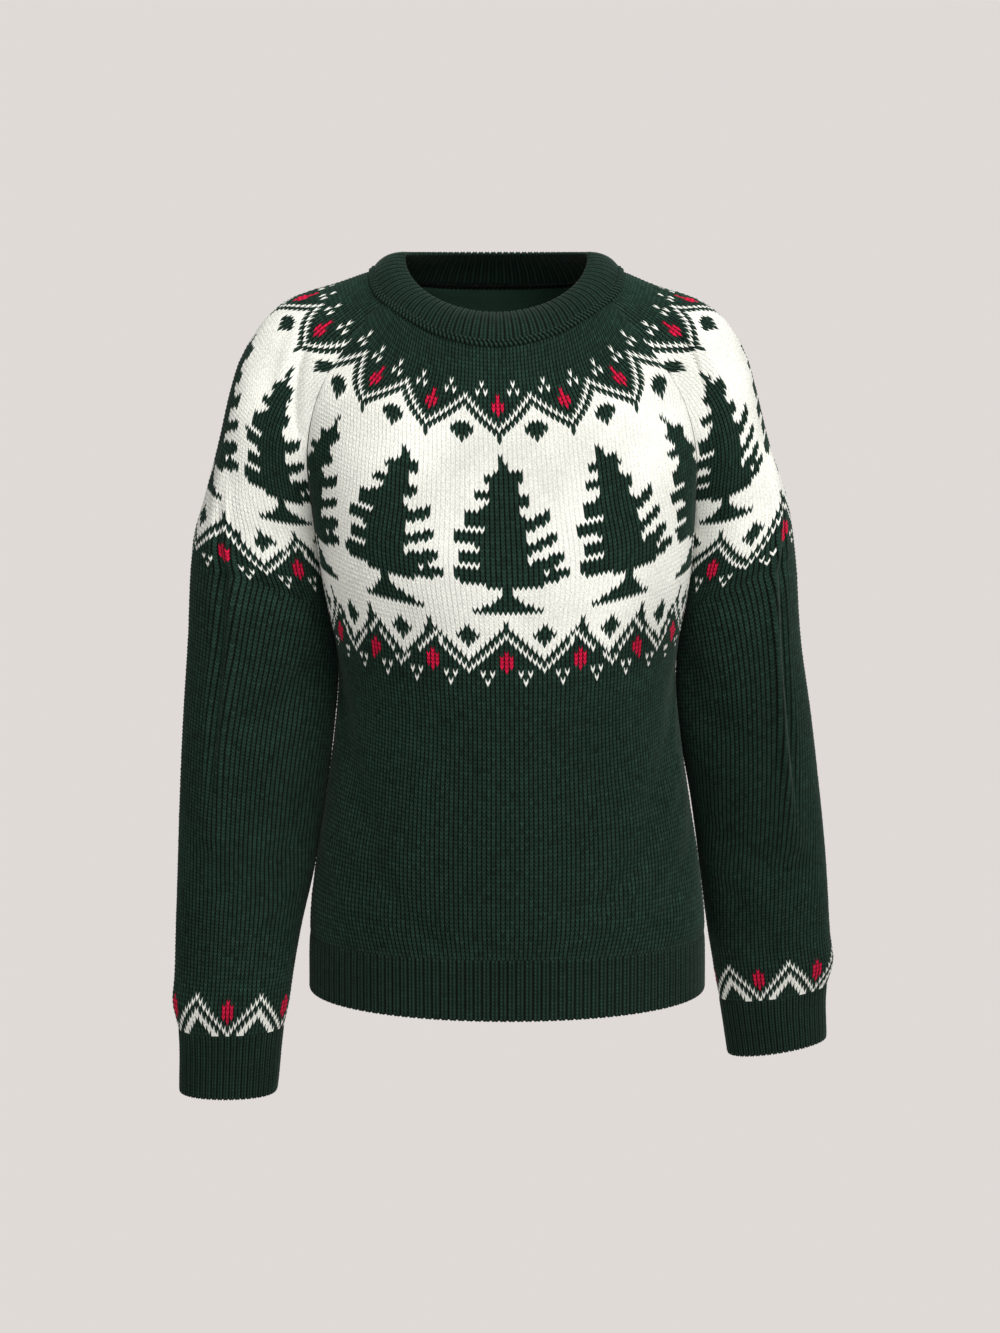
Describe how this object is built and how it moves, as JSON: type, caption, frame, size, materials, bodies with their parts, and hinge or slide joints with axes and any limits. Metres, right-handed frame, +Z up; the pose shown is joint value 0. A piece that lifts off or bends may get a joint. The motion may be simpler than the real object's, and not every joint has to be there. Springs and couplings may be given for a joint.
{
  "type": "christmas sweater",
  "caption": "Long-sleeved raglan sweater in jacquard knit with ribbed neckband, hem and cuffs, in its hollow worn form.",
  "frame": {"origin": "middle of the neck opening, at the height of the shoulders beside the neckband, where the wearer holds the sweater up", "axes": "+Z up along the wearer's spine, +Y towards the wearer's back, +X towards the wearer's left arm"},
  "size_m": [0.5615, 0.258, 0.7001],
  "materials": {
    "knit": "matt wool-blend jacquard jersey, dark green ground with off-white and red motifs",
    "rib": "matt dark green rib knit"
  },
  "bodies": {
    "root": {"front_panel": "knit", "back_panel": "knit", "sleeve_left": "knit", "sleeve_right": "knit", "neckband": "rib", "hem_rib_front": "rib", "hem_rib_back": "rib", "cuff_rib_left": "rib", "cuff_rib_right": "rib"}
  },
  "joints": []
}
